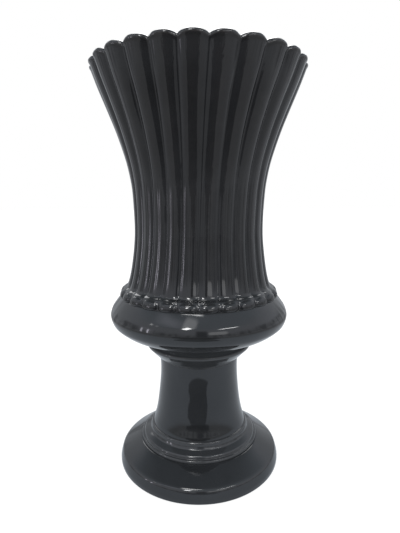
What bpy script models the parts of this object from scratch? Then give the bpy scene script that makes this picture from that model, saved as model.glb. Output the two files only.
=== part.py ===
"""Fluted tulip vase on a pedestal, built as seven fired sections.

Every section is turned about +Z and located on the next one by a spigot:
the bowl's upper spigot stands inside the tulip, its lower spigot goes down
through both collar rings into the stem, and the stem's own spigot goes down
through the foot ring into the foot. Metres, +Z up, standing ring at z = 0.
"""
import math

import bmesh
import bpy

MM = 0.001

# Driving dimensions of the whole vase
HEIGHT = 330.0 * MM
RIM_RADIUS = 84.2 * MM
WAIST_RADIUS = 52.9 * MM
WAIST_Z = 207.5 * MM
BULB_RADIUS = 74.5 * MM
BULB_Z = 133.0 * MM
FOOT_RADIUS = 70.2 * MM

# Fits: one gap between faces that meet, the same one round every spigot
GAP = 0.3 * MM

# Flutes
RIBS = 26
RIB_DEPTH = 0.041
COLUMNS_PER_RIB = 6
SCALLOP = 2.0 * MM
SCALLOP_REACH = 34.0 * MM
INNER_FLUTE = 0.75
INNER_FLUTE_REACH = 80.0 * MM

# Heights of the joints, top to bottom, each at the upper face of the lower section
HEM_Z = 148.5 * MM
NECK_Z = 111.9 * MM
COLLAR_Z = 107.6 * MM
STEM_TOP_Z = 94.0 * MM
STEM_FOOT_Z = 33.6 * MM
FOOT_SEAT_Z = 20.6 * MM

# Walls
TULIP_WALL = 4.6 * MM
BOWL_WALL = 5.4 * MM
FLOOR_WALL = 6.5 * MM

# Tulip foot: the ribs kick out over the shoulder of the bowl and end in a row of low oval beads
KICK_Z = 159.4 * MM
KICK_RADIUS = 59.6 * MM
BEAD_RADIUS = 66.5 * MM
BEAD_RISE = 1.7 * MM
BEAD_Z = 151.8 * MM
BEAD_HALF = 3.6 * MM

# Spigots
UPPER_SPIGOT_RADIUS = 54.0 * MM
UPPER_SPIGOT_WALL = 4.5 * MM
UPPER_SPIGOT_RISE = 6.5 * MM
BOWL_SPIGOT_RADIUS = 24.0 * MM
BOWL_SPIGOT_BORE = 18.0 * MM
BOWL_SPIGOT_DEPTH = 8.0 * MM
STEM_SPIGOT_RADIUS = 34.0 * MM
STEM_SPIGOT_BORE = 29.0 * MM
STEM_SPIGOT_DEPTH = 3.1 * MM

# Collar, stem and foot
NECK_RADIUS = 39.0 * MM
COLLAR_RADIUS = 44.8 * MM
STEM_TOP_RADIUS = 33.5 * MM
STEM_FOOT_RADIUS = 40.9 * MM
STEP_RADIUS = 49.1 * MM
STEP_BEAD_RADIUS = 51.4 * MM
FOOT_EDGE = 4.6 * MM
FOOT_HEEL = 1.4 * MM
STANDING_RING = 11.4 * MM
FOOT_WALL = 5.6 * MM

# Round steps of the turned sections
TURNED_STEPS = 48


def arc(cr, cz, radius, start, end, steps):
    """Points on a circular arc in the (r, z) plane, angles in degrees."""
    points = []
    for i in range(steps + 1):
        a = math.radians(start + (end - start) * i / steps)
        points.append((cr + radius * math.cos(a), cz + radius * math.sin(a)))
    return points


def curve(points, steps):
    """A smooth curve through the points (Catmull-Rom), steps to each span."""
    ends = [points[0]] + list(points) + [points[-1]]
    out = [points[0]]
    for k in range(len(points) - 1):
        p0, p1, p2, p3 = ends[k:k + 4]
        for i in range(1, steps + 1):
            t = i / steps
            out.append(tuple(
                0.5 * (2 * b + (c - a) * t + (2 * a - 5 * b + 4 * c - d) * t * t
                       + (3 * b - a - 3 * c + d) * t ** 3)
                for a, b, c, d in zip(p0, p1, p2, p3)))
    return out


def blend(x):
    """Smooth step from 0 to 1."""
    x = min(max(x, 0.0), 1.0)
    return x * x * (3.0 - 2.0 * x)


def ceramic(name, color, roughness):
    material = bpy.data.materials.new(name)
    material.use_nodes = True
    shader = material.node_tree.nodes["Principled BSDF"]
    shader.inputs["Base Color"].default_value = (*color, 1.0)
    shader.inputs["Roughness"].default_value = roughness
    shader.inputs["Coat Weight"].default_value = 1.0
    shader.inputs["Coat Roughness"].default_value = 0.03
    material.diffuse_color = (*color, 1.0)
    return material


def section(name, rows, closed, material):
    """One solid from rows of points; each row goes once round the axis.

    A closed section joins its last row to its first. An open one begins and
    ends with a single point on the axis.
    """
    mesh = bpy.data.meshes.new(name)
    bm = bmesh.new()
    rings = [[bm.verts.new(p) for p in row] for row in rows]
    pairs = list(zip(rings[:-1], rings[1:]))
    if closed:
        pairs.append((rings[-1], rings[0]))
    for a, b in pairs:
        count = max(len(a), len(b))
        for j in range(count):
            k = (j + 1) % count
            if len(a) == 1:
                bm.faces.new((a[0], b[j], b[k]))
            elif len(b) == 1:
                bm.faces.new((a[j], b[0], a[k]))
            else:
                bm.faces.new((a[j], b[j], b[k], a[k]))
    bmesh.ops.recalc_face_normals(bm, faces=bm.faces[:])
    for face in bm.faces:
        face.smooth = True
    bm.to_mesh(mesh)
    bm.free()
    obj = bpy.data.objects.new(name, mesh)
    obj.data.materials.append(material)
    bpy.context.scene.collection.objects.link(obj)
    return obj


def turned(name, profile, closed, material):
    """A plain turned section from its (r, z) profile."""
    rows = []
    for r, z in profile:
        if r < 1e-6:
            rows.append([(0.0, 0.0, z)])
            continue
        row = []
        for j in range(TURNED_STEPS):
            a = 2 * math.pi * j / TURNED_STEPS
            row.append((r * math.cos(a), r * math.sin(a), z))
        rows.append(row)
    return section(name, rows, closed, material)


# Start from an empty scene
for old in list(bpy.data.objects):
    bpy.data.objects.remove(old, do_unlink=True)

glaze_tulip = ceramic("black_glaze_tulip", (0.012, 0.0125, 0.014), 0.08)
glaze_bowl = ceramic("black_glaze_bowl", (0.012, 0.0125, 0.014), 0.06)
glaze_neck = ceramic("black_glaze_neck_ring", (0.013, 0.0135, 0.015), 0.07)
glaze_collar = ceramic("black_glaze_collar_ring", (0.013, 0.0135, 0.015), 0.07)
glaze_stem = ceramic("black_glaze_stem", (0.012, 0.0125, 0.014), 0.06)
glaze_ring = ceramic("black_glaze_foot_ring", (0.013, 0.0135, 0.015), 0.07)
glaze_foot = ceramic("black_glaze_foot", (0.012, 0.0125, 0.014), 0.06)

# Fluted tulip: ribbed trumpet with a scalloped lip, ribs kicking out at the hem
lip_radius = TULIP_WALL / 2
lip_z = HEIGHT - lip_radius
hem_z = HEM_Z + GAP
socket_radius = UPPER_SPIGOT_RADIUS + GAP
socket_z = HEM_Z + UPPER_SPIGOT_RISE + GAP
throat_radius = UPPER_SPIGOT_RADIUS - UPPER_SPIGOT_WALL

trumpet = curve([
    (KICK_RADIUS, KICK_Z),
    (WAIST_RADIUS + 0.9 * MM, WAIST_Z - 18.0 * MM),
    (WAIST_RADIUS, WAIST_Z),
    (WAIST_RADIUS + 1.2 * MM, WAIST_Z + 26.0 * MM),
    (WAIST_RADIUS + 4.2 * MM, WAIST_Z + 47.2 * MM),
    (WAIST_RADIUS + 18.4 * MM, WAIST_Z + 88.1 * MM),
    (RIM_RADIUS, lip_z),
], 3)
hem = curve([
    (BEAD_RADIUS - 1.0 * MM, hem_z),
    (BEAD_RADIUS - 1.9 * MM, BEAD_Z),
    (BEAD_RADIUS - 3.2 * MM, KICK_Z - 3.9 * MM),
    (BEAD_RADIUS - 5.8 * MM, KICK_Z - 2.0 * MM),
    trumpet[0],
], 2)


def rib_depth(radius):
    return RIB_DEPTH * radius


def hem_depth(r, z):
    """Depth of the grooves below the kick, where they run out between the beads."""
    return rib_depth(r) * (0.25 + 0.75 * blend((z - BEAD_Z) / (KICK_Z + 1.0 * MM - BEAD_Z)))


def bead_rise(u, z):
    """Height of an oval bead over the hem, u across the rib from -1 to 1."""
    return BEAD_RISE * max(0.0, 1 - abs(u) ** 2.6 - ((z - BEAD_Z) / BEAD_HALF) ** 2) ** 0.65


def inner_radius(r, z, g):
    """Inside of the wall: plain below, gently fluted towards the rim."""
    share = INNER_FLUTE * blend((z - (lip_z - INNER_FLUTE_REACH)) / INNER_FLUTE_REACH)
    return r - rib_depth(r) * (1 - share * g) - TULIP_WALL


inside = trumpet[-3:3:-2]

columns = []
for j in range(RIBS * COLUMNS_PER_RIB):
    u = 2 * ((j % COLUMNS_PER_RIB) / COLUMNS_PER_RIB)
    u = u if u <= 1 else u - 2
    angle = 2 * math.pi * j / (RIBS * COLUMNS_PER_RIB)
    g = 1 - u * u
    loop = []
    for r, z in hem:
        loop.append((r - hem_depth(r, z) * (1 - g) + bead_rise(u, z), z))
    for r, z in trumpet[1:]:
        dip = SCALLOP * (1 - g) * blend((z - (lip_z - SCALLOP_REACH)) / SCALLOP_REACH)
        loop.append((r - rib_depth(r) * (1 - g), z - dip))
    lip_outer = loop[-1]
    lip_inner = inner_radius(RIM_RADIUS, lip_z, g)
    lip_half = (lip_outer[0] - lip_inner) / 2
    for r, z in arc(lip_outer[0] - lip_half, lip_outer[1], 1.0, 0, 180, 4)[1:]:
        loop.append((lip_outer[0] - lip_half + (r - lip_outer[0] + lip_half) * lip_half,
                     lip_outer[1] + (z - lip_outer[1]) * lip_radius))
    for r, z in inside:
        dip = SCALLOP * (1 - g) * blend((z - (lip_z - SCALLOP_REACH)) / SCALLOP_REACH)
        loop.append((inner_radius(r, z, g), z - dip))
    loop.append((throat_radius, socket_z))
    loop.append((socket_radius, socket_z))
    loop.append((socket_radius, hem_z))
    columns.append((angle, loop))

tulip_rows = []
for i in range(len(columns[0][1])):
    row = []
    for angle, loop in columns:
        r, z = loop[i]
        row.append((r * math.cos(angle), r * math.sin(angle), z))
    tulip_rows.append(row)
section("fluted_tulip", tulip_rows, True, glaze_tulip)

# Bowl: smooth squat bulb with its own floor, spigots above and below
neck_seat_z = NECK_Z + GAP
shoulder_radius = BEAD_RADIUS - 0.1 * MM
floor_z = neck_seat_z + 2.0 * MM + FLOOR_WALL
spigot_top_z = HEM_Z + UPPER_SPIGOT_RISE
bulb_outer = curve([
    (shoulder_radius, HEM_Z),
    (BULB_RADIUS - 6.0 * MM, BULB_Z + 12.6 * MM),
    (BULB_RADIUS - 3.3 * MM, BULB_Z + 9.0 * MM),
    (BULB_RADIUS - 1.5 * MM, BULB_Z + 6.1 * MM),
    (BULB_RADIUS - 0.3 * MM, BULB_Z + 2.6 * MM),
    (BULB_RADIUS, BULB_Z),
    (BULB_RADIUS - 1.0 * MM, BULB_Z - 4.0 * MM),
    (BULB_RADIUS - 3.4 * MM, BULB_Z - 7.9 * MM),
    (BULB_RADIUS - 11.3 * MM, BULB_Z - 13.8 * MM),
    (BULB_RADIUS - 22.8 * MM, BULB_Z - 18.4 * MM),
    (NECK_RADIUS + 1.0 * MM, neck_seat_z),
], 2)
bulb_inner = curve([
    (throat_radius, spigot_top_z),
    (throat_radius + 0.6 * MM, HEM_Z - 1.5 * MM),
    (UPPER_SPIGOT_RADIUS + 2.0 * MM, HEM_Z - BOWL_WALL),
    (BULB_RADIUS - BOWL_WALL - 3.8 * MM, BULB_Z + 6.5 * MM),
    (BULB_RADIUS - BOWL_WALL, BULB_Z - 1.5 * MM),
    (BULB_RADIUS - 14.5 * MM, floor_z + 3.0 * MM),
    (BULB_RADIUS - 28.0 * MM, floor_z),
], 2)
spigot_end_z = STEM_TOP_Z - BOWL_SPIGOT_DEPTH
bowl_profile = [(0.0, floor_z)] + list(reversed(bulb_inner)) + [
    (UPPER_SPIGOT_RADIUS, spigot_top_z),
    (UPPER_SPIGOT_RADIUS, HEM_Z),
] + bulb_outer + [
    (BOWL_SPIGOT_RADIUS, neck_seat_z),
    (BOWL_SPIGOT_RADIUS, spigot_end_z),
    (BOWL_SPIGOT_BORE, spigot_end_z),
    (BOWL_SPIGOT_BORE, floor_z - FLOOR_WALL),
    (0.0, floor_z - FLOOR_WALL),
]
turned("bowl", bowl_profile, False, glaze_bowl)

# Neck ring: rounded band under the bowl
bore = BOWL_SPIGOT_RADIUS + GAP
neck_foot_z = COLLAR_Z + GAP
neck_half = (NECK_Z - neck_foot_z) / 2
neck_profile = [(bore, NECK_Z)]
for r, z in arc(0.0, 0.0, 1.0, 90, -90, 4):
    neck_profile.append((NECK_RADIUS - neck_half * 0.55 * (1 - r), NECK_Z - neck_half * (1 - z)))
neck_profile.append((bore, neck_foot_z))
turned("neck_ring", neck_profile, True, glaze_neck)

# Collar ring: ledge under the neck ring, upright band and a cone in to the stem
collar_foot_z = STEM_TOP_Z + GAP
collar_profile = [
    (bore, COLLAR_Z),
    (COLLAR_RADIUS - 0.9 * MM, COLLAR_Z),
    (COLLAR_RADIUS - 0.2 * MM, COLLAR_Z - 0.7 * MM),
    (COLLAR_RADIUS, COLLAR_Z - 1.8 * MM),
    (COLLAR_RADIUS - 0.4 * MM, COLLAR_Z - 3.3 * MM),
    (STEM_TOP_RADIUS + 0.9 * MM, collar_foot_z),
    (bore, collar_foot_z),
]
turned("collar_ring", collar_profile, True, glaze_collar)

# Stem: tapered tube, socket above, spigot below
stem_foot_z = STEM_FOOT_Z + GAP
stem_rise = STEM_TOP_Z - stem_foot_z
stem_end_z = FOOT_SEAT_Z - STEM_SPIGOT_DEPTH
stem_outer = curve([
    (STEM_TOP_RADIUS + 0.4 * MM, STEM_TOP_Z),
    (STEM_TOP_RADIUS, STEM_TOP_Z - 0.12 * stem_rise),
    (STEM_TOP_RADIUS + 0.3 * MM, STEM_TOP_Z - 0.32 * stem_rise),
    (STEM_TOP_RADIUS + 2.4 * MM, STEM_TOP_Z - 0.65 * stem_rise),
    (STEM_TOP_RADIUS + 4.6 * MM, STEM_TOP_Z - 0.85 * stem_rise),
    (STEM_FOOT_RADIUS, stem_foot_z),
], 2)
stem_profile = stem_outer + [
    (STEM_SPIGOT_RADIUS, stem_foot_z),
    (STEM_SPIGOT_RADIUS, stem_end_z),
    (STEM_SPIGOT_BORE, stem_end_z),
    (STEM_SPIGOT_BORE, stem_foot_z + 6.0 * MM),
    (bore + 2.0 * MM, spigot_end_z - 8.0 * MM),
    (bore, spigot_end_z - 1.0 * MM),
    (bore, STEM_TOP_Z),
]
turned("stem", stem_profile, True, glaze_stem)

# Foot ring: bead under the stem, hollow slope, step with a bead at its base
ring_bore = STEM_SPIGOT_RADIUS + GAP
ring_foot_z = FOOT_SEAT_Z + GAP
bead_r = 1.7 * MM
step_r = 2.1 * MM
base_bead = 1.1 * MM
bead_z = STEM_FOOT_Z - bead_r
ring_profile = [(ring_bore, STEM_FOOT_Z)] \
    + arc(STEM_FOOT_RADIUS - 0.3 * MM, bead_z, bead_r, 90, -35, 4) \
    + [(STEP_RADIUS - 5.8 * MM, STEM_FOOT_Z - 5.4 * MM)] \
    + arc(STEP_RADIUS - step_r, ring_foot_z + 3.3 * MM, step_r, 80, 0, 3) \
    + [(STEP_RADIUS + 0.1 * MM, ring_foot_z + 2.4 * MM)] \
    + arc(STEP_BEAD_RADIUS - base_bead, ring_foot_z + base_bead, base_bead, 80, -80, 3) \
    + [(ring_bore, ring_foot_z)]
turned("foot_ring", ring_profile, True, glaze_ring)

# Foot: domed base, hollow underneath, standing on a flat ring
stand_outer = FOOT_RADIUS - FOOT_HEEL
stand_inner = stand_outer - STANDING_RING
dome = curve([
    (STEP_BEAD_RADIUS + 0.4 * MM, FOOT_SEAT_Z),
    (FOOT_RADIUS - 11.7 * MM, FOOT_SEAT_Z - 3.4 * MM),
    (FOOT_RADIUS - 7.0 * MM, FOOT_SEAT_Z - 5.7 * MM),
    (FOOT_RADIUS - 4.0 * MM, FOOT_SEAT_Z - 7.8 * MM),
    (FOOT_RADIUS - 1.6 * MM, FOOT_SEAT_Z - 10.7 * MM),
    (FOOT_RADIUS - 0.4 * MM, FOOT_SEAT_Z - 13.4 * MM),
    (FOOT_RADIUS, FOOT_EDGE),
], 2)
hollow = curve([
    (stand_inner, 0.0),
    (stand_inner - 1.5 * MM, FOOT_EDGE),
    (stand_inner - 8.0 * MM, FOOT_SEAT_Z - FOOT_WALL - 2.4 * MM),
    (ring_bore, FOOT_SEAT_Z - FOOT_WALL),
], 2)
foot_profile = dome \
    + arc(FOOT_RADIUS - FOOT_HEEL, FOOT_HEEL, FOOT_HEEL, 0, -90, 3) \
    + hollow \
    + [(ring_bore, FOOT_SEAT_Z)]
turned("foot", foot_profile, True, glaze_foot)
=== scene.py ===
"""Looks of the fluted tulip vase: fine fluted and turned meshes in black glaze, a studio and a camera.

Every piece stands for the CAD node of the same name and is built from that node's box. Outlines are
lists of (r, z) points about the Z axis, in metres, with the corners softened as a glaze softens them.
"""

import math

import bpy
import numpy as np
from mathutils import Matrix, Vector


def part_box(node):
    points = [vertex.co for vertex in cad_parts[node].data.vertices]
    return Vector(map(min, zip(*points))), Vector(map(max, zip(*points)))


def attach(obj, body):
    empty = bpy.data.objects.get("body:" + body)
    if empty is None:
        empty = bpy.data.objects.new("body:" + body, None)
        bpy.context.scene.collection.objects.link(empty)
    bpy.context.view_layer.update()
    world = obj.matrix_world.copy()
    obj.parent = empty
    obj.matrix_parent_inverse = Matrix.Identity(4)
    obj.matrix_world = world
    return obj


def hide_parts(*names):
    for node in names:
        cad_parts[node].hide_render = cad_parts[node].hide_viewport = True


MM = 0.001

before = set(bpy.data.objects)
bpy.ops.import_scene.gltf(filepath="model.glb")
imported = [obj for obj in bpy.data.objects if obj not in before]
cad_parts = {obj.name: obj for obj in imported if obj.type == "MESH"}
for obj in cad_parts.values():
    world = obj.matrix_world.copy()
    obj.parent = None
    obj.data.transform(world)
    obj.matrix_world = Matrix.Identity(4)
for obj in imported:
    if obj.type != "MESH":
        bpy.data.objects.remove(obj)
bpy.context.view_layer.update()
tulip_low, tulip_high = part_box("fluted_tulip")
bowl_low, bowl_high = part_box("bowl")
neck_low, neck_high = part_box("neck_ring")
collar_low, collar_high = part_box("collar_ring")
stem_low, stem_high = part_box("stem")
ring_low, ring_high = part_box("foot_ring")
foot_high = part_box("foot")[1]

# Main sizes, from the frame
HEIGHT = tulip_high[2]
RIM_RADIUS = tulip_high[0]
HEM_Z = tulip_low[2]
BULB_RADIUS = bowl_high[0]
SPIGOT_TOP_Z, SPIGOT_END_Z = bowl_high[2], bowl_low[2]
NECK_TOP_Z, NECK_FOOT_Z = neck_high[2], neck_low[2]
NECK_RADIUS = neck_high[0]
COLLAR_TOP_Z, COLLAR_FOOT_Z = collar_high[2], collar_low[2]
COLLAR_RADIUS = collar_high[0]
STEM_TOP_Z, STEM_END_Z = stem_high[2], stem_low[2]
STEM_FOOT_RADIUS = stem_high[0]
RING_TOP_Z, RING_FOOT_Z = ring_high[2], ring_low[2]
RING_RADIUS = ring_high[0]
SEAT_Z = foot_high[2]
FOOT_RADIUS = foot_high[0]

# Shapes that a box does not give
GAP = 0.3 * MM
WAIST_RADIUS, WAIST_Z = 52.9 * MM, 207.5 * MM
KICK_RADIUS, KICK_Z = 59.6 * MM, 159.4 * MM
BULB_Z = 133.0 * MM
UPPER_SPIGOT_RADIUS, UPPER_SPIGOT_WALL = 54.0 * MM, 4.5 * MM
BOWL_SPIGOT_RADIUS, BOWL_SPIGOT_BORE = 24.0 * MM, 18.0 * MM
STEM_SPIGOT_RADIUS, STEM_SPIGOT_BORE = 34.0 * MM, 29.0 * MM
STEM_TOP_RADIUS = 33.5 * MM
STEP_RADIUS = 49.1 * MM
FLOOR_Z, FLOOR_WALL = 120.7 * MM, 6.5 * MM
BOWL_WALL = 5.4 * MM

# Flutes: depths are shares of the radius
RIBS = 26
RIB_STEPS = 20
RIB_DEPTH, RIB_DEPTH_WAIST = 0.041, 0.028
RIB_DEEPENS_AT, RIB_DEEPENS_OVER = WAIST_Z + 15.0 * MM, 80.0 * MM
RIB_FLATTENS_AT, RIB_FLATTENS_OVER = KICK_Z - 6.0 * MM, 8.0 * MM
RIB_FLAT_SHARE = 0.45
RIB_POWER = 2.4
RIB_UNEVEN = 0.03
RIB_SEED = 28
RIB_TWIST = math.radians(5.2)
GROOVE_FLOOR, GROOVE_ROUND = 0.06, 0.10
BEAD_RADIUS, BEAD_RISE = 66.5 * MM, 1.7 * MM
BEAD_Z, BEAD_HALF = 151.8 * MM, 3.6 * MM
BEAD_WIDTH, BEAD_POWER, BEAD_CROWN = 0.96, 2.6, 0.65
SCALLOP, SCALLOP_REACH = 2.0 * MM, 34.0 * MM
INNER_FLUTE, INNER_FLUTE_REACH = 0.75, 80.0 * MM
TULIP_WALL = 4.6 * MM
LIP_RADIUS = TULIP_WALL / 2
LIP_POINTS = 6
SOCKET_SLOPE = 6.0 * MM
CREST_THIN = 0.25

# Meshes
TURN_STEPS = 224
SOFT = 0.45 * MM
FINE_STEP, DENSE_STEP = 0.15 * MM, 0.4 * MM
THIN_BEND = 1.2 * MM
UNEVEN, EVEN_CENTRE = 0.05 * MM, 20.0 * MM
UNEVEN_WAVES = ((2, 61.0 * MM), (3, 43.0 * MM), (5, 29.0 * MM), (8, 23.0 * MM))

# Where two sections meet, the glaze runs over the joint: each one reaches this far past its end
JOIN = 0.2 * MM


# Outlines

def arc(cr, cz, radius, start, end, steps=12):
    """Points on a circular arc in the (r, z) plane, angles in degrees."""
    angles = np.radians(np.linspace(start, end, steps + 1))
    return [(cr + radius * math.cos(a), cz + radius * math.sin(a)) for a in angles]


def curve(points, steps=12):
    """A smooth curve through the points (Catmull-Rom), steps to each span."""
    ends = [points[0]] + list(points) + [points[-1]]
    out = [tuple(points[0])]
    for k in range(len(points) - 1):
        p0, p1, p2, p3 = ends[k:k + 4]
        for i in range(1, steps + 1):
            t = i / steps
            out.append(tuple(
                0.5 * (2 * b + (c - a) * t + (2 * a - 5 * b + 4 * c - d) * t * t
                       + (3 * b - a - 3 * c + d) * t ** 3)
                for a, b, c, d in zip(p0, p1, p2, p3)))
    return out


def blend(x):
    """Smooth step from 0 to 1, for numbers and arrays."""
    x = np.clip(x, 0.0, 1.0)
    return x * x * (3.0 - 2.0 * x)


def soften(points, closed, radius=SOFT, turn=5.0, reach=5.0 * MM, dense=(0.0, 0.0)):
    """Rounds the corners of an outline and keeps the points that its bends need.

    A point is (r, z) or (r, z, more values), and all of its values are smoothed alike. A point is kept
    after a turn in degrees or a length of run, and more often between the heights in dense.
    """
    pts = np.array(points, dtype=float)
    if closed:
        pts = np.vstack([pts, pts[:1]])
    run = np.r_[0.0, np.cumsum(np.hypot(*np.diff(pts[:, :2], axis=0).T))]
    count = int(run[-1] / FINE_STEP)
    at = np.linspace(0.0, run[-1], count, endpoint=not closed)
    fine = np.stack([np.interp(at, run, pts[:, k]) for k in range(pts.shape[1])], 1)
    half = int(3 * radius / FINE_STEP)
    kernel = np.exp(-0.5 * (np.arange(-half, half + 1) * FINE_STEP / radius) ** 2)
    kernel /= kernel.sum()
    ends = {"mode": "wrap"} if closed else {"mode": "reflect", "reflect_type": "odd"}
    pad = np.pad(fine, ((half, half), (0, 0)), **ends)
    smooth = np.stack([np.convolve(pad[:, k], kernel, "valid") for k in range(fine.shape[1])], 1)
    heading = np.unwrap(np.arctan2(np.gradient(smooth[:, 1]), np.gradient(smooth[:, 0])))
    keep = [0]
    for i in range(1, count):
        gone = at[i] - at[keep[-1]]
        bent = abs(heading[i] - heading[keep[-1]]) > math.radians(turn)
        close = dense[0] < smooth[i, 1] < dense[1] and gone > DENSE_STEP
        if close or bent or gone > reach:
            keep.append(i)
    if not closed and keep[-1] != count - 1:
        keep.append(count - 1)
    return smooth[keep]


def bulge(rows):
    """How sharply an outline bends at each row, 0 to 1: the glaze is thin on such edges."""
    r, z = rows[:, 0], rows[:, 1]
    heading = np.unwrap(np.arctan2(np.gradient(z), np.gradient(r)))
    run = np.r_[0.0, np.cumsum(np.hypot(np.diff(r), np.diff(z)))]
    bend = np.abs(np.gradient(heading) / np.maximum(np.gradient(run), 1e-6))
    return np.clip(bend * THIN_BEND, 0.0, 1.0)


# Meshes

def skin(name, grid, thin, closed):
    """A mesh object from rows of points round the axis; an open outline's end rows become points."""
    rows, columns = grid.shape[:2]
    poles = [] if closed else [0, rows - 1]
    body = [i for i in range(rows) if i not in poles]
    verts = np.concatenate([grid[body].reshape(-1, 3)] + [grid[p, :1] for p in poles])
    values = np.concatenate([thin[body].reshape(-1)] + [thin[p, :1] for p in poles])
    index = np.arange(len(body) * columns).reshape(len(body), columns)
    beside = np.roll(index, -1, axis=1)
    above = np.roll(index, -1, axis=0)
    above_beside = np.roll(beside, -1, axis=0)
    quads = np.stack([index, above, above_beside, beside], -1)
    if not closed:
        quads = quads[:-1]
    faces = quads.reshape(-1, 4).tolist()
    if not closed:
        first, last = len(body) * columns, len(body) * columns + 1
        faces += [(first, int(a), int(b)) for a, b in zip(index[0], beside[0])]
        faces += [(last, int(b), int(a)) for a, b in zip(index[-1], beside[-1])]
    mesh = bpy.data.meshes.new(name)
    mesh.from_pydata(verts.tolist(), [], faces)
    layer = mesh.attributes.new("thin_glaze", "FLOAT", "POINT")
    layer.data.foreach_set("value", values.astype(np.float32))
    mesh.polygons.foreach_set("use_smooth", [True] * len(mesh.polygons))
    mesh.validate()
    mesh.update()
    obj = bpy.data.objects.new(name, mesh)
    bpy.context.scene.collection.objects.link(obj)
    return obj


def waver(angle, z, amount, seed):
    """The slight unevenness of a cast and dipped wall: a few slow waves round and along it."""
    out = 0.0
    for k, (turns, length) in enumerate(UNEVEN_WAVES):
        phase = seed * 1.7 + k * 2.1
        out = out + np.sin(turns * angle + phase + z / length * 2 * math.pi) / (k + 1.5)
    return amount * out


def place(obj, node, material):
    """Puts a piece in the place of a CAD node, on the vase's one body."""
    obj.data.materials.append(material)
    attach(obj, "root")
    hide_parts(node)
    return obj


def turned(node, outline, closed, material, seed, soft=SOFT, uneven=UNEVEN):
    """A smooth turned piece that stands for a CAD node."""
    rows = soften(outline, closed, soft)
    if not closed:
        rows[0, 0] = rows[-1, 0] = 0.0
    angle = 2 * math.pi * np.arange(TURN_STEPS) / TURN_STEPS
    r, z = rows[:, :1], rows[:, 1:2]
    radius = r + waver(angle[None], z, uneven, seed) * np.minimum(r / EVEN_CENTRE, 1.0)
    grid = np.stack([radius * np.cos(angle), radius * np.sin(angle), z + 0 * radius], -1)
    thin = np.repeat(bulge(rows)[:, None], TURN_STEPS, 1)
    return place(skin(node + "_skin", grid, thin, closed), node, material)


# Shader nodes: each call adds one, fed by sockets or plain values, and gives its output

def node_of(tree, kind, **inputs):
    """Adds a shader node and sets its inputs by name; gives the node itself."""
    node = tree.nodes.new(kind)
    for key, value in inputs.items():
        node.inputs[key.replace("_", " ")].default_value = value
    return node


def feed(tree, socket, value):
    """Links an output to a socket, or sets the socket to a number or a colour."""
    if isinstance(value, tuple):
        socket.default_value = (*value, 1.0)
    elif isinstance(value, (int, float)):
        socket.default_value = value
    else:
        tree.links.new(value, socket)


def math_node(tree, operation, *values):
    node = tree.nodes.new("ShaderNodeMath")
    node.operation = operation
    for socket, value in zip(node.inputs, values):
        feed(tree, socket, value)
    return node.outputs["Value"]


def mix_node(tree, factor, first, second, blend_type="MIX"):
    """A mix of two colours."""
    node = tree.nodes.new("ShaderNodeMix")
    node.data_type = "RGBA"
    node.blend_type = blend_type
    for name, value in (("Factor", factor), ("A", first), ("B", second)):
        feed(tree, node.inputs[name], value)
    return node.outputs["Result"]


def range_node(tree, value, low, high, at_low, at_high, kind="LINEAR"):
    """A change from one number to another while a value goes from low to high."""
    node = node_of(tree, "ShaderNodeMapRange", From_Min=low, From_Max=high, To_Min=at_low, To_Max=at_high)
    node.interpolation_type = kind
    tree.links.new(value, node.inputs["Value"])
    return node.outputs["Result"]


def fade_node(tree, value, low, high, at_low, at_high):
    """The same with soft ends."""
    return range_node(tree, value, low, high, at_low, at_high, "SMOOTHSTEP")


def noise_node(tree, where, **inputs):
    node = node_of(tree, "ShaderNodeTexNoise", **inputs)
    tree.links.new(where, node.inputs["Vector"])
    return node.outputs["Fac"]


def parts_of(tree, vector):
    """The X, Y and Z of a vector."""
    node = tree.nodes.new("ShaderNodeSeparateXYZ")
    tree.links.new(vector, node.inputs["Vector"])
    return [node.outputs[k] for k in "XYZ"]


def vector_of(tree, x, y):
    """A vector from two numbers."""
    node = tree.nodes.new("ShaderNodeCombineXYZ")
    tree.links.new(x, node.inputs["X"])
    tree.links.new(y, node.inputs["Y"])
    return node.outputs["Vector"]


# Glaze
INK, SOOT = (0.0060, 0.0062, 0.0067), (0.0105, 0.0109, 0.0119)
BROWN_EDGE = (0.030, 0.027, 0.025)
# What faces up turns lighter grey: partly dust, partly painted light from above
DUST_AND_TOP_LIGHT, DUST_AND_TOP_LIGHT_COVER = (0.026, 0.029, 0.033), 0.35
DUST_AND_TOP_LIGHT_FACING, DUST_AND_TOP_LIGHT_PATCHES = (0.3, 1.0), (0.2, 0.8, 0.7, 1.0)
MOTTLE_STOPS = (0.35, 0.68)
PINHOLE_EDGE = (0.02, 0.07)
GLAZE_IOR, GLAZE_ROUGHNESS = 1.52, (0.03, 0.085)
# Colour of the painted glow that lifts the glaze's black in its shade
PAINTED_GLOW_COLOR = (0.91, 1.0, 1.1)


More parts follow.
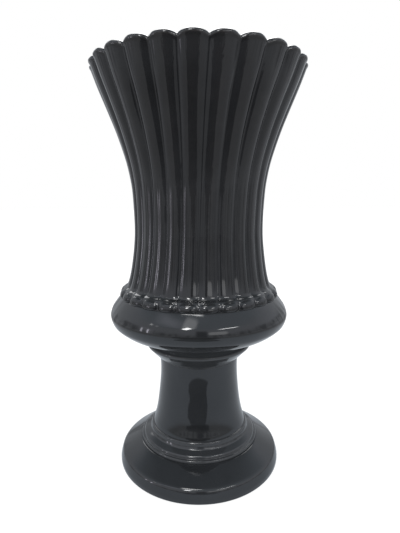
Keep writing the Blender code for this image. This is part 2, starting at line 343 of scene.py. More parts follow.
def glaze_color(tree, where):
    """Mottled near-black, brown where the glaze is thin, and lighter on what faces up: a film of dust that
    is also painted light from above.
    """
    mottle = noise_node(tree, where, Scale=46.0, Detail=4.0, Roughness=0.6)
    tone = tree.nodes.new("ShaderNodeValToRGB")
    tree.links.new(mottle, tone.inputs["Fac"])
    for stop, position, color in zip(tone.color_ramp.elements, MOTTLE_STOPS, (INK, SOOT)):
        stop.position = position
        stop.color = (*color, 1.0)
    thin = tree.nodes.new("ShaderNodeAttribute")
    thin.attribute_name = "thin_glaze"
    breakup = noise_node(tree, where, Scale=310.0, Detail=3.0)
    worn = math_node(tree, "MULTIPLY", thin.outputs["Fac"], breakup)
    color = mix_node(tree, worn, tone.outputs["Color"], BROWN_EDGE)
    facing_up = parts_of(tree, tree.nodes.new("ShaderNodeNewGeometry").outputs["Normal"])[2]
    # Upward faces grey over: dust, and painted light from above
    dust_and_top_light = math_node(tree, "MULTIPLY", range_node(tree, facing_up, *DUST_AND_TOP_LIGHT_FACING, 0.0, DUST_AND_TOP_LIGHT_COVER),
                     range_node(tree, mottle, *DUST_AND_TOP_LIGHT_PATCHES))
    return mix_node(tree, dust_and_top_light, color, DUST_AND_TOP_LIGHT)


def glaze_normal(tree, where, run_strength):
    """Slow waves, runs down the wall, orange peel and pinholes."""
    stretch = node_of(tree, "ShaderNodeMapping", Scale=(1.0, 1.0, 0.06))
    tree.links.new(where, stretch.inputs["Vector"])
    pits = node_of(tree, "ShaderNodeTexVoronoi", Scale=165.0)
    tree.links.new(where, pits.inputs["Vector"])
    normal = None
    for height, strength, depth in (
            (noise_node(tree, where, Scale=70.0, Detail=1.0), 0.30, 0.20 * MM),
            (noise_node(tree, stretch.outputs["Vector"], Scale=330.0, Detail=2.0), run_strength, 0.10 * MM),
            (noise_node(tree, where, Scale=520.0, Detail=2.0), 0.16, 0.03 * MM),
            (range_node(tree, pits.outputs["Distance"], *PINHOLE_EDGE, 0.0, 1.0), 0.25, 0.05 * MM)):
        bump = node_of(tree, "ShaderNodeBump", Strength=strength, Distance=depth)
        tree.links.new(height, bump.inputs["Height"])
        if normal is not None:
            tree.links.new(normal, bump.inputs["Normal"])
        normal = bump.outputs["Normal"]
    return normal


def glaze(name, seed, painted_glow, run_strength=0.1):
    """Glossy black glaze. The third argument sets an even emission, a painted glow that lifts the black
    where the glaze lies in shade.
    """
    material = bpy.data.materials.new(name)
    material.use_nodes = True
    tree = material.node_tree
    shader = tree.nodes["Principled BSDF"]
    shader.inputs["IOR"].default_value = GLAZE_IOR
    # Painted glow: the glaze gives off a faint light of its own, which lifts its shade
    shader.inputs["Emission Color"].default_value = (*PAINTED_GLOW_COLOR, 1.0)
    shader.inputs["Emission Strength"].default_value = painted_glow
    shift = node_of(tree, "ShaderNodeMapping", Location=(seed, seed * 0.6, seed * 0.3))
    tree.links.new(tree.nodes.new("ShaderNodeTexCoord").outputs["Object"], shift.inputs["Vector"])
    where = shift.outputs["Vector"]
    haze = noise_node(tree, where, Scale=150.0, Detail=5.0, Roughness=0.65)
    tree.links.new(range_node(tree, haze, 0.0, 1.0, *GLAZE_ROUGHNESS), shader.inputs["Roughness"])
    tree.links.new(glaze_color(tree, where), shader.inputs["Base Color"])
    tree.links.new(glaze_normal(tree, where, run_strength), shader.inputs["Normal"])
    return material


# The third number is each glaze's painted glow, strongest on the rings, whose shade it lifts most
tulip_glaze = glaze("tulip_black_glaze", 0.0, 0.002, run_strength=0.5)
bowl_glaze = glaze("bowl_black_glaze", 1.3, 0.007)
ring_glaze = glaze("ring_black_glaze", 2.1, 0.018)
stem_glaze = glaze("stem_black_glaze", 3.7, 0.006)
foot_glaze = glaze("foot_black_glaze", 5.2, 0.009)


# Fluted tulip
lip_z = HEIGHT - LIP_RADIUS
lip_depth = RIB_DEPTH * RIM_RADIUS
lip_half = (TULIP_WALL + RIB_DEPTH * RIM_RADIUS * (1 - INNER_FLUTE)) / 2
socket_radius = UPPER_SPIGOT_RADIUS + GAP
socket_z = SPIGOT_TOP_Z + GAP
throat_radius = UPPER_SPIGOT_RADIUS - UPPER_SPIGOT_WALL


def across_rib(u):
    """Height across a rib, an arch with rounded grooves: 1 on its crest, 0 between ribs; u runs -1 to 1."""
    arch = 1.0 - np.abs(u) ** RIB_POWER
    h = np.clip(0.5 + 0.5 * (arch - GROOVE_FLOOR) / GROOVE_ROUND, 0.0, 1.0)
    return arch * h + GROOVE_FLOOR * (1 - h) + GROOVE_ROUND * h * (1 - h)


def on_bead(u, z):
    """Height over a low oval bead, one at the end of each rib: 1 in its middle, 0 at its rim."""
    oval = 1.0 - np.abs(u / BEAD_WIDTH) ** BEAD_POWER - ((z - BEAD_Z) / BEAD_HALF) ** 2
    return np.clip(oval, 0.0, 1.0) ** BEAD_CROWN


def rib_depth(r, z):
    """Depth of the grooves below the crests: shallower at the waist and more so at the hem."""
    up = float(blend((z - RIB_DEEPENS_AT) / RIB_DEEPENS_OVER))
    down = float(blend((z - RIB_FLATTENS_AT) / RIB_FLATTENS_OVER))
    share = RIB_DEPTH_WAIST + (RIB_DEPTH - RIB_DEPTH_WAIST) * up
    return r * share * (RIB_FLAT_SHARE + (1 - RIB_FLAT_SHARE) * down)


def inner_share(z):
    """Share of the outer grooves' depth that shows inside, fading out below the lip."""
    return float(INNER_FLUTE * blend((z - (lip_z - INNER_FLUTE_REACH)) / INNER_FLUTE_REACH))


def rim_dip(z):
    """Share of the scallops' dip between the ribs, fading out below the lip."""
    return float(blend((z - (lip_z - SCALLOP_REACH)) / SCALLOP_REACH))


trumpet = curve([
    (KICK_RADIUS, KICK_Z),
    (WAIST_RADIUS + 4.1 * MM, WAIST_Z - 37.5 * MM),
    (WAIST_RADIUS + 1.3 * MM, WAIST_Z - 18.0 * MM),
    (WAIST_RADIUS + 0.3 * MM, WAIST_Z),
    (WAIST_RADIUS + 1.25 * MM, WAIST_Z + 25.0 * MM),
    (WAIST_RADIUS + 3.1 * MM, WAIST_Z + 39.0 * MM),
    (WAIST_RADIUS + 6.2 * MM, WAIST_Z + 52.5 * MM),
    (WAIST_RADIUS + 12.2 * MM, WAIST_Z + 71.5 * MM),
    (WAIST_RADIUS + 18.6 * MM, WAIST_Z + 88.1 * MM),
    (WAIST_RADIUS + 25.7 * MM, WAIST_Z + 105.5 * MM),
    (RIM_RADIUS - 1.0 * MM, lip_z - 2.0 * MM),
])
hem = curve([
    (BEAD_RADIUS - 1.0 * MM, HEM_Z - 0.9 * MM),
    (BEAD_RADIUS - 1.3 * MM, HEM_Z + 0.9 * MM),
    (BEAD_RADIUS - 1.9 * MM, BEAD_Z),
    (BEAD_RADIUS - 3.2 * MM, KICK_Z - 3.9 * MM),
    (BEAD_RADIUS - 5.8 * MM, KICK_Z - 2.0 * MM),
    trumpet[0],
])

# Outline points carry (r, z, depth of the groove, rim dip, bead or not): hem, wall, lip, inner wall, socket
outline = [(r, z, rib_depth(r, z), 0.0, 1.0) for r, z in hem]
outline += [(r, z, rib_depth(r, z), rim_dip(z), 0.0) for r, z in trumpet[1:]]
for r, z in arc(0.0, 0.0, 1.0, -45, 180, 20):
    share = 1.0 + (INNER_FLUTE - 1.0) * (1 - r) / 2
    outline.append((RIM_RADIUS - lip_half * (1 - r), lip_z + LIP_RADIUS * z, lip_depth * share, 1.0, 0.0))
for r, z in reversed(trumpet[1:-LIP_POINTS]):
    if z > socket_z + SOCKET_SLOPE:
        share, cut_in = inner_share(z), rib_depth(r, z)
        outline.append((r - cut_in * (1 - share) - TULIP_WALL, z, cut_in * share, rim_dip(z), 0.0))
outline += [(throat_radius, socket_z, 0.0, 0.0, 0.0),
            (socket_radius, socket_z, 0.0, 0.0, 0.0),
            (socket_radius, HEM_Z - 0.9 * MM, 0.0, 0.0, 0.0)]

rows = soften(outline, True, radius=0.32 * MM, turn=6.0, reach=4.0 * MM, dense=(HEM_Z - 0.8 * MM, KICK_Z))
columns = RIBS * RIB_STEPS
angle = 2 * math.pi * np.arange(columns) / columns
u = (np.arange(columns) % RIB_STEPS) * 2.0 / RIB_STEPS
u = np.where(u > 1, u - 2, u)[None]
r, z, depth, dip, beaded = (rows[:, k:k + 1] for k in range(5))

# The ribs turn slightly on their way down, and no two are quite alike
random = np.random.default_rng(RIB_SEED)
shift = np.interp(np.arange(columns + 1) / RIB_STEPS + 0.5, np.arange(RIBS + 2),
                  np.resize(random.uniform(-1, 1, RIBS), RIBS + 2))[:columns]
angle = (angle + RIB_UNEVEN * shift * 2 * math.pi / RIBS)[None]
angle = angle - RIB_TWIST * (lip_z - z) / (lip_z - BEAD_Z)
dent = 1.0 - across_rib(u)
radius = r - depth * dent + beaded * BEAD_RISE * on_bead(u, z) + waver(angle, z, UNEVEN, 2.0)
height = z - SCALLOP * dip * dent
grid = np.stack([radius * np.cos(angle), radius * np.sin(angle), height], -1)
thin = np.clip(bulge(rows)[:, None] + CREST_THIN * (depth > 1e-6) * (1 - dent) ** 3, 0, 1)
place(skin("fluted_tulip_skin", grid, thin, True), "fluted_tulip", tulip_glaze)


# Bowl
shoulder_z = HEM_Z - GAP + JOIN
neck_seat_z = NECK_TOP_Z + GAP - JOIN
bulb_outer = curve([
    (BEAD_RADIUS - 1.0 * MM, shoulder_z + 0.7 * MM),
    (BEAD_RADIUS - 0.1 * MM, shoulder_z - 0.4 * MM),
    (BULB_RADIUS - 6.0 * MM, BULB_Z + 12.6 * MM),
    (BULB_RADIUS - 3.3 * MM, BULB_Z + 9.0 * MM),
    (BULB_RADIUS - 1.5 * MM, BULB_Z + 6.1 * MM),
    (BULB_RADIUS - 0.3 * MM, BULB_Z + 2.6 * MM),
    (BULB_RADIUS, BULB_Z),
    (BULB_RADIUS - 1.0 * MM, BULB_Z - 4.0 * MM),
    (BULB_RADIUS - 3.4 * MM, BULB_Z - 7.9 * MM),
    (BULB_RADIUS - 11.3 * MM, BULB_Z - 13.8 * MM),
    (BULB_RADIUS - 22.8 * MM, BULB_Z - 18.4 * MM),
    (NECK_RADIUS + 0.8 * MM, neck_seat_z + 0.1 * MM),
])
bulb_inner = curve([
    (BULB_RADIUS - 28.0 * MM, FLOOR_Z),
    (BULB_RADIUS - 14.5 * MM, FLOOR_Z + 3.0 * MM),
    (BULB_RADIUS - BOWL_WALL, BULB_Z - 1.5 * MM),
    (BULB_RADIUS - BOWL_WALL - 3.8 * MM, BULB_Z + 6.5 * MM),
    (UPPER_SPIGOT_RADIUS + 2.0 * MM, shoulder_z - BOWL_WALL),
    (throat_radius + 0.6 * MM, shoulder_z - 1.5 * MM),
    (throat_radius, SPIGOT_TOP_Z),
])
bowl_outline = [(0.0, FLOOR_Z)] + bulb_inner + [
    (UPPER_SPIGOT_RADIUS, SPIGOT_TOP_Z),
    (UPPER_SPIGOT_RADIUS, shoulder_z + 0.7 * MM),
] + bulb_outer + [
    (BOWL_SPIGOT_RADIUS, neck_seat_z),
    (BOWL_SPIGOT_RADIUS, SPIGOT_END_Z),
    (BOWL_SPIGOT_BORE, SPIGOT_END_Z),
    (BOWL_SPIGOT_BORE, FLOOR_Z - FLOOR_WALL),
    (0.0, FLOOR_Z - FLOOR_WALL),
]
turned("bowl", bowl_outline, False, bowl_glaze, seed=1.0, soft=0.7 * MM, uneven=0.09 * MM)

# Neck ring
bore = BOWL_SPIGOT_RADIUS + GAP
neck_outline = [
    (bore, NECK_TOP_Z + JOIN),
    (NECK_RADIUS - 0.2 * MM, NECK_TOP_Z + JOIN),
    (NECK_RADIUS + 0.3 * MM, NECK_TOP_Z - 0.7 * MM),
    (NECK_RADIUS - 0.2 * MM, NECK_TOP_Z - 2.2 * MM),
    (NECK_RADIUS - 0.9 * MM, NECK_FOOT_Z - JOIN),
    (bore, NECK_FOOT_Z - JOIN),
]
turned("neck_ring", neck_outline, True, ring_glaze, seed=1.5)

# Collar ring: ledge under the neck ring, upright band and a cone in to the stem
collar_top_z, collar_foot_z = COLLAR_TOP_Z + JOIN, COLLAR_FOOT_Z - JOIN
collar_outline = [
    (bore, collar_top_z + 0.4 * MM),
    (NECK_RADIUS - 1.0 * MM, collar_top_z + 0.4 * MM),
    (COLLAR_RADIUS - 0.9 * MM, collar_top_z - 0.5 * MM),
    (COLLAR_RADIUS - 0.2 * MM, collar_top_z - 1.0 * MM),
    (COLLAR_RADIUS, collar_top_z - 1.8 * MM),
    (COLLAR_RADIUS - 0.4 * MM, collar_top_z - 3.3 * MM),
    (STEM_TOP_RADIUS + 0.9 * MM, collar_foot_z),
    (bore, collar_foot_z),
]
turned("collar_ring", collar_outline, True, ring_glaze, seed=1.8, soft=0.4 * MM)

# Stem
stem_top_z = STEM_TOP_Z + JOIN
stem_foot_z = RING_TOP_Z + GAP - JOIN
stem_rise = STEM_TOP_Z - stem_foot_z
stem_outline = curve([
    (STEM_TOP_RADIUS + 0.5 * MM, stem_top_z),
    (STEM_TOP_RADIUS, STEM_TOP_Z - 0.12 * stem_rise),
    (STEM_TOP_RADIUS + 0.3 * MM, STEM_TOP_Z - 0.32 * stem_rise),
    (STEM_TOP_RADIUS + 2.4 * MM, STEM_TOP_Z - 0.65 * stem_rise),
    (STEM_TOP_RADIUS + 4.6 * MM, STEM_TOP_Z - 0.85 * stem_rise),
    (STEM_FOOT_RADIUS, stem_foot_z),
]) + [
    (STEM_SPIGOT_RADIUS, stem_foot_z),
    (STEM_SPIGOT_RADIUS, STEM_END_Z),
    (STEM_SPIGOT_BORE, STEM_END_Z),
    (STEM_SPIGOT_BORE, stem_foot_z + 6.0 * MM),
    (bore + 2.0 * MM, SPIGOT_END_Z - 8.0 * MM),
    (bore, SPIGOT_END_Z - 1.0 * MM),
    (bore, stem_top_z),
]
turned("stem", stem_outline, True, stem_glaze, seed=4.0, uneven=0.08 * MM)

# Foot ring: bead under the stem, hollow slope, step with a bead at its base
ring_bore = STEM_SPIGOT_RADIUS + GAP
ring_top_z, ring_foot_z = RING_TOP_Z + JOIN, RING_FOOT_Z - JOIN
bead_r, step_r, base_bead = 1.8 * MM, 2.3 * MM, 1.4 * MM
ring_outline = [(ring_bore, ring_top_z)] \
    + arc(STEM_FOOT_RADIUS - 0.3 * MM, ring_top_z - bead_r, bead_r, 90, -35) \
    + [(STEP_RADIUS - 5.8 * MM, RING_TOP_Z - 5.4 * MM)] \
    + arc(STEP_RADIUS - step_r, RING_FOOT_Z + 3.3 * MM, step_r, 80, 0) \
    + [(STEP_RADIUS + 0.1 * MM, RING_FOOT_Z + 2.4 * MM)] \
    + arc(RING_RADIUS - base_bead, RING_FOOT_Z + base_bead, base_bead, 80, -25) \
    + [(RING_RADIUS - 0.3 * MM, ring_foot_z), (ring_bore, ring_foot_z)]
turned("foot_ring", ring_outline, True, ring_glaze, seed=2.0, soft=0.6 * MM)

# Foot: domed base, hollow underneath, standing on a flat ring
corner, heel, edge_z = 4.0 * MM, 1.2 * MM, 4.2 * MM
foot_wall, standing_ring = 5.6 * MM, 11.4 * MM
stand_inner = FOOT_RADIUS - heel - standing_ring
seat_z = SEAT_Z + JOIN
dome = [(RING_RADIUS + 0.4 * MM, seat_z)] \
    + arc(FOOT_RADIUS - corner - 1.3 * MM, edge_z + corner, corner, 62, 15) \
    + [(FOOT_RADIUS, edge_z)]
hollow = curve([
    (stand_inner, 0.0),
    (stand_inner - 1.5 * MM, edge_z),
    (stand_inner - 8.0 * MM, SEAT_Z - foot_wall - 2.4 * MM),
    (ring_bore, SEAT_Z - foot_wall),
])
foot_outline = dome + arc(FOOT_RADIUS - heel, heel, heel, 0, -90) + hollow + [(ring_bore, seat_z)]
turned("foot", foot_outline, True, foot_glaze, seed=3.0, soft=0.6 * MM, uneven=0.08 * MM)


# Camera: the photograph's place, from a fit to the outline, the rim and the ribs
FOCAL_PIXELS, FRAME_PIXELS = 415.5, 533.0
CAMERA_DISTANCE = 1.0565 * HEIGHT
CAMERA_HEIGHT = 0.704 * HEIGHT
PITCH, YAW, ROLL = math.radians(9.9), math.radians(0.175), math.radians(-0.10)
AROUND = math.radians(-5.0)

turn_table = Matrix.Rotation(AROUND, 3, "Z")
forward = Vector((math.sin(YAW) * math.cos(PITCH), math.cos(YAW) * math.cos(PITCH), -math.sin(PITCH)))
level = Vector((math.cos(YAW), -math.sin(YAW), 0.0))
upward = level.cross(forward)
right = math.cos(ROLL) * level + math.sin(ROLL) * upward
up = -math.sin(ROLL) * level + math.cos(ROLL) * upward
axes = turn_table @ Matrix((right, up, -forward)).transposed()
camera_data = bpy.data.cameras.new("photo_camera")
camera_data.sensor_fit = "VERTICAL"
camera_data.sensor_height = 36.0
camera_data.lens = FOCAL_PIXELS / FRAME_PIXELS * camera_data.sensor_height
camera_data.clip_start = 0.01
camera = bpy.data.objects.new("photo_camera", camera_data)
stand = turn_table @ Vector((0.0, -CAMERA_DISTANCE, CAMERA_HEIGHT))
camera.matrix_world = Matrix.Translation(stand) @ axes.to_4x4()
bpy.context.scene.collection.objects.link(camera)
bpy.context.scene.camera = camera


# Lamps, which show only as reflections
LAMP_AIM, LAMP_DISTANCE, LAMP_SQUARENESS = Vector((0.0, 0.0, 0.15)), 1.3, 4.0
WHITE, COOL, BLACK = (1.0, 1.0, 1.0), (0.90, 0.87, 1.0), (0.0, 0.0, 0.0)


def towards(azimuth, elevation):
    """Direction from the vase, azimuth in degrees from the camera's side, to the right of the picture."""
    a, e = math.radians(azimuth) + AROUND, math.radians(elevation)
    return Vector((math.sin(a) * math.cos(e), -math.cos(a) * math.cos(e), math.sin(e)))


def softbox(name, azimuth, elevation, width, height, radiance, color=WHITE, tilt=0.0, soft=0.5):
    """A lamp that faces the vase, fading over the soft share of its half width and half height.

    Angles and sizes are in degrees, and a radiance of 1 looks white.
    """
    lamp = bpy.data.lights.new(name, "AREA")
    lamp.shape = "RECTANGLE"
    lamp.size = 2 * LAMP_DISTANCE * math.tan(math.radians(width) / 2)
    lamp.size_y = 2 * LAMP_DISTANCE * math.tan(math.radians(height) / 2)
    lamp.energy = radiance * math.pi * lamp.size * lamp.size_y
    lamp.color = color
    lamp.use_nodes = True
    tree = lamp.node_tree
    across = parts_of(tree, tree.nodes.new("ShaderNodeNewGeometry").outputs["Parametric"])[:2]
    out = [math_node(tree, "ABSOLUTE", math_node(tree, "MULTIPLY_ADD", v, 2.0, -1.0)) for v in across]
    edge = math_node(tree, "ADD", *[math_node(tree, "POWER", v, LAMP_SQUARENESS) for v in out])
    edge = math_node(tree, "POWER", edge, 1.0 / LAMP_SQUARENESS)
    fade = fade_node(tree, edge, 1.0 - soft, 1.0, 1.0, 0.0)
    tree.links.new(fade, tree.nodes["Emission"].inputs["Strength"])
    obj = bpy.data.objects.new(name, lamp)
    obj.visible_camera = obj.visible_diffuse = False
    away = towards(azimuth, elevation)
    obj.matrix_world = Matrix.Translation(LAMP_AIM + away * LAMP_DISTANCE) \
        @ away.to_track_quat("Z", "Y").to_matrix().to_4x4() @ Matrix.Rotation(math.radians(tilt), 4, "Z")
    bpy.context.scene.collection.objects.link(obj)


# Name, azimuth, elevation, width, height, radiance
softbox("window_left", -17, 37, 9, 15, 24.0, tilt=-25)
softbox("window_high", -14, 63, 26, 7, 12.0)
softbox("pane_left", -14, 46, 18, 28, 1.8, tilt=-8)
softbox("bar_right", 39, 33, 28, 4, 15.0)
softbox("spot_left", -67, 32, 5, 6, 3.0)
softbox("spot_left_inner", -58, 32, 5, 5, 1.6)
softbox("panel_left", -46, 45, 48, 22, 0.8, COOL, soft=1.0)
softbox("glow_left", -64, 6, 30, 26, 0.5, COOL, soft=1.0)
softbox("streak_left_outer", -72, 4.0, 4, 19, 4.5, COOL, soft=0.65)
softbox("streak_left_inner", -63, 4.0, 3.5, 19, 7.0, COOL, soft=0.65)
softbox("patch_right", 23, 14.2, 26, 13, 1.3, soft=0.3)
softbox("ceiling", 180, 66, 54, 44, 18.0, soft=1.0)
softbox("back_left", -140, 35, 14, 26, 3.0)
softbox("back_right", 145, 40, 18, 18, 3.0)


# Room round about, as the glaze mirrors it
CLUTTER, CLUTTER_SCALE, CLUTTER_STRETCH = 0.45, 7.0, 0.25
CLUTTER_EDGE = (0.40, 0.56)


def bearing(tree, x, y):
    """Angle of a direction from the camera's side, in radians, to the right of the picture."""
    turned_by = math_node(tree, "ARCTAN2", x, math_node(tree, "MULTIPLY", y, -1.0))
    return math_node(tree, "SUBTRACT", turned_by, AROUND)


def clutter_node(tree, side, height):
    """Dark upright shapes in the room, 0 to 1, for a bearing and a height."""
    where = vector_of(tree, side, math_node(tree, "MULTIPLY", height, CLUTTER_STRETCH))
    shapes = noise_node(tree, where, Scale=CLUTTER_SCALE, Detail=1.0)
    return fade_node(tree, shapes, *CLUTTER_EDGE, 1.0, 0.0)


# Floor: white to the camera, with the vase's shadow. What the glaze mirrors of it is pale near the vase,
# with a painted contact shade just behind its foot, and grey farther off, with a dark strip and a dark
# wedge on the camera's side. Lengths are distances from the axis, or ahead of it towards the camera;
# pairs are where a change starts and ends.
FLOOR_HALF = 6.0
FLOOR_COLOR, FLOOR_GLOW, FLOOR_SHADE = (0.90, 0.90, 0.90), 0.85, 0.35
NEAR_FRONT, NEAR_BACK, BACK_FROM = (0.64, 0.71, 0.80), (0.57, 0.61, 0.66), (0.12, -0.12)
# Painted contact shade: the mirrored floor darkens just behind the vase's foot
PAINTED_CONTACT_SHADE, PAINTED_CONTACT_SHADE_OUT = (0.48, 0.52, 0.56), (0.075, 0.14)
FAR_FROM = (0.26, 0.48)
FAR_INNER, FAR_OUTER, FAR_OUT = (0.37, 0.38, 0.40), (0.54, 0.56, 0.60), (0.6, 1.4)
FAR_CLUTTER_OUT = (0.8, 1.8)
REAR_CLUTTER, REAR_CLUTTER_OUT, REAR_FROM = 0.4, (0.22, 0.45), (0.0, -0.2)
STRIP, STRIP_START, STRIP_END = (0.19, 0.21, 0.235), (0.195, 0.205), (0.408, 0.414)
STRIP_HALF, STRIP_FADE, STRIP_OFFSET = 0.100, 0.003, 0.012
RAGGED, RAGGED_SIDE, RAGGED_SCALE = 0.045, (-0.03, 0.02), 30.0
WEDGE_INNER, WEDGE_OUTER, WEDGE_OUT = (0.08, 0.085, 0.095), (0.18, 0.185, 0.205), (0.5, 1.1)
WEDGE_START, WEDGE_FADE = (0.34, 0.37), 0.012
WEDGE_TIP, WEDGE_SPREAD, WEDGE_ROOT = 0.15, 0.29, 0.17
WEDGE_LEAN, WEDGE_LEAN_BACK, WEDGE_LEAN_START = 0.08, -0.15, 0.27
WEDGE_TAPER, WEDGE_WIDE, WEDGE_NARROW = (0.75, 2.6), 0.50, 0.12
TORN, TORN_OUT, TORN_SCALE = 1.1, (0.5, 1.0), 9.0


def strip_node(tree, position, x, ahead):
    """The dark strip across the camera's side, with a ragged left end."""
    ragged = math_node(tree, "SUBTRACT", noise_node(tree, position, Scale=RAGGED_SCALE), 0.5)
    ends = math_node(tree, "ABSOLUTE", math_node(
        tree, "MULTIPLY_ADD", ragged, fade_node(tree, x, *RAGGED_SIDE, RAGGED, 0.0),
        math_node(tree, "ADD", x, STRIP_OFFSET)))
    along = math_node(tree, "MULTIPLY", fade_node(tree, ahead, *STRIP_START, 0.0, 1.0),
                      fade_node(tree, ahead, *STRIP_END, 1.0, 0.0))
    return math_node(tree, "MULTIPLY", along,
                     fade_node(tree, ends, STRIP_HALF - STRIP_FADE, STRIP_HALF + STRIP_FADE, 1.0, 0.0))


def wedge_node(tree, x, ahead):
    """The dark wedge that opens from the vase to the camera and beyond, with torn sides."""
    half = math_node(tree, "MINIMUM", math_node(tree, "SUBTRACT", ahead, WEDGE_TIP),
                     math_node(tree, "MULTIPLY_ADD", ahead, WEDGE_SPREAD, WEDGE_ROOT))
    taper = fade_node(tree, ahead, *WEDGE_TAPER, WEDGE_WIDE, WEDGE_NARROW)
    half = math_node(tree, "MINIMUM", half, math_node(tree, "MULTIPLY", ahead, taper))
    lean = math_node(tree, "MINIMUM", math_node(tree, "MULTIPLY", ahead, WEDGE_LEAN),
                     math_node(tree, "MULTIPLY_ADD", ahead, WEDGE_LEAN_BACK, WEDGE_LEAN_START))
    off = math_node(tree, "ABSOLUTE", math_node(tree, "ADD", x, lean))
    torn_at = vector_of(tree, math_node(tree, "DIVIDE", x, ahead),
                        math_node(tree, "LOGARITHM", ahead, math.e))
    torn = math_node(tree, "SUBTRACT", noise_node(tree, torn_at, Scale=TORN_SCALE, Detail=2.0), 0.5)
    torn_by = math_node(tree, "MULTIPLY", ahead, fade_node(tree, ahead, *TORN_OUT, 0.0, TORN))
    side = math_node(tree, "ADD", math_node(tree, "MULTIPLY", torn, torn_by),
                     math_node(tree, "SUBTRACT", off, half))
    return math_node(tree, "MULTIPLY", fade_node(tree, ahead, *WEDGE_START, 0.0, 1.0),
                     fade_node(tree, side, -WEDGE_FADE, WEDGE_FADE, 1.0, 0.0))


def mirrored_floor(tree):
    """The floor's colour as the glaze mirrors it."""
    position = tree.nodes.new("ShaderNodeNewGeometry").outputs["Position"]
    px, py, pz = parts_of(tree, position)
    x = math_node(tree, "ADD", math_node(tree, "MULTIPLY", px, math.cos(AROUND)),
                  math_node(tree, "MULTIPLY", py, math.sin(AROUND)))
    ahead = math_node(tree, "SUBTRACT", math_node(tree, "MULTIPLY", px, math.sin(AROUND)),
                      math_node(tree, "MULTIPLY", py, math.cos(AROUND)))
    away = math_node(tree, "POWER", math_node(tree, "ADD", math_node(tree, "POWER", px, 2.0),
                                              math_node(tree, "POWER", py, 2.0)), 0.5)
    back = fade_node(tree, ahead, *BACK_FROM, 0.0, 1.0)
    near = mix_node(tree, back, NEAR_FRONT, NEAR_BACK)
    # Painted contact shade, close behind the foot
    painted_contact_shade = math_node(tree, "MULTIPLY", back, fade_node(tree, away, *PAINTED_CONTACT_SHADE_OUT, 1.0, 0.0))
    near = mix_node(tree, painted_contact_shade, near, PAINTED_CONTACT_SHADE)
    far = mix_node(tree, fade_node(tree, away, *FAR_OUT, 0.0, 1.0), FAR_INNER, FAR_OUTER)
    rear = math_node(tree, "MULTIPLY", fade_node(tree, ahead, *REAR_FROM, 0.0, 1.0),
                     fade_node(tree, away, *REAR_CLUTTER_OUT, 0.0, REAR_CLUTTER))
    strewn = math_node(tree, "MAXIMUM", rear, fade_node(tree, away, *FAR_CLUTTER_OUT, 0.0, CLUTTER))
    clutter = math_node(tree, "MULTIPLY", clutter_node(tree, bearing(tree, px, py), pz), strewn)
    far = mix_node(tree, clutter, far, BLACK)
    color = mix_node(tree, fade_node(tree, away, *FAR_FROM, 0.0, 1.0), near, far)
    color = mix_node(tree, strip_node(tree, position, x, ahead), color, STRIP)
    gloom = mix_node(tree, fade_node(tree, away, *WEDGE_OUT, 0.0, 1.0), WEDGE_INNER, WEDGE_OUTER)
    return mix_node(tree, wedge_node(tree, x, ahead), color, gloom)


floor_paint = bpy.data.materials.new("pale_floor")
floor_paint.use_nodes = True
tree = floor_paint.node_tree
path = tree.nodes.new("ShaderNodeLightPath")
dim = mix_node(tree, path.outputs["Is Glossy Ray"], WHITE, mirrored_floor(tree))
seen = math_node(tree, "MAXIMUM", path.outputs["Is Camera Ray"], path.outputs["Is Glossy Ray"])
paint = mix_node(tree, seen, FLOOR_COLOR, tuple(FLOOR_SHADE * v for v in FLOOR_COLOR))
shader = tree.nodes["Principled BSDF"]
shader.inputs["Roughness"].default_value = 0.9
shader.inputs["Specular IOR Level"].default_value = 0.0
tree.links.new(mix_node(tree, 1.0, paint, dim, "MULTIPLY"), shader.inputs["Base Color"])
tree.links.new(dim, shader.inputs["Emission Color"])
tree.links.new(math_node(tree, "MULTIPLY", seen, FLOOR_GLOW), shader.inputs["Emission Strength"])

floor_mesh = bpy.data.meshes.new("floor")
corners = [(sx * FLOOR_HALF, sy * FLOOR_HALF, 0.0) for sx, sy in ((-1, -1), (1, -1), (1, 1), (-1, 1))]
floor_mesh.from_pydata(corners, [], [(0, 1, 2, 3)])
floor_mesh.materials.append(floor_paint)
floor = bpy.data.objects.new("floor", floor_mesh)
bpy.context.scene.collection.objects.link(floor)


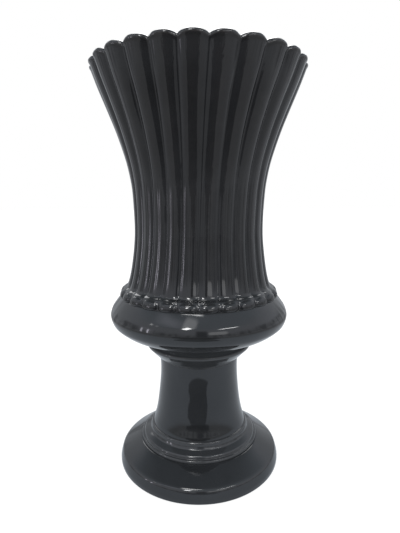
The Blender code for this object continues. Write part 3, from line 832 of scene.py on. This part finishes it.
# World: white to the camera. The glaze mirrors a grey room, pale at the sides and dim overhead, with
# clutter low down and a dark figure on the camera's side. Pairs are where a change starts and ends, as
# parts of a direction: Z, or Y to the back.
HORIZON, SIDES, SIDES_UP = (0.54, 0.56, 0.60), (0.86, 0.90, 0.99), (0.0, 0.3)
OVERHEAD, OVERHEAD_UP = (0.70, 0.79, 0.89), (0.45, 0.7)
TOP, TOP_UP, TOP_LEAN = (0.20, 0.23, 0.26), (0.64, 0.92), 0.35
BEHIND, BEHIND_BACK, BEHIND_UP = (0.66, 0.69, 0.73), (0.1, 0.7), (0.3, 0.7)
CLUTTER_UP = (0.10, 0.3)
FIGURE, FIGURE_UP = (0.18, 0.19, 0.22), (0.30, 0.60)
FIGURE_AT, FIGURE_HALF, FIGURE_FADE = math.radians(3.0), math.radians(7.0), math.radians(2.5)

world = bpy.data.worlds.new("studio")
world.use_nodes = True
bpy.context.scene.world = world
tree = world.node_tree
path = tree.nodes.new("ShaderNodeLightPath")
x, y, z = parts_of(tree, tree.nodes.new("ShaderNodeTexCoord").outputs["Generated"])
sky = mix_node(tree, fade_node(tree, z, *SIDES_UP, 0.0, 1.0), HORIZON, SIDES)
sky = mix_node(tree, fade_node(tree, z, *OVERHEAD_UP, 0.0, 1.0), sky, OVERHEAD)
top = math_node(tree, "MULTIPLY_ADD", y, TOP_LEAN, z)
sky = mix_node(tree, fade_node(tree, top, *TOP_UP, 0.0, 1.0), sky, TOP)
behind = math_node(tree, "MULTIPLY", fade_node(tree, y, *BEHIND_BACK, 0.0, 1.0),
                   fade_node(tree, z, *BEHIND_UP, 1.0, 0.0))
sky = mix_node(tree, behind, sky, BEHIND)
side = bearing(tree, x, y)
clutter = math_node(tree, "MULTIPLY", fade_node(tree, z, *CLUTTER_UP, CLUTTER, 0.0),
                    clutter_node(tree, side, z))
sky = mix_node(tree, clutter, sky, BLACK)
off = math_node(tree, "ABSOLUTE", math_node(tree, "SUBTRACT", side, FIGURE_AT))
figure = math_node(
    tree, "MULTIPLY", fade_node(tree, off, FIGURE_HALF - FIGURE_FADE, FIGURE_HALF + FIGURE_FADE, 1.0, 0.0),
    fade_node(tree, z, *FIGURE_UP, 1.0, 0.0))
sky = mix_node(tree, figure, sky, FIGURE)
sky = mix_node(tree, path.outputs["Is Diffuse Ray"], sky, WHITE)
sky = mix_node(tree, path.outputs["Is Camera Ray"], sky, WHITE)
tree.links.new(sky, tree.nodes["Background"].inputs["Color"])

bpy.context.scene.view_settings.view_transform = "Standard"
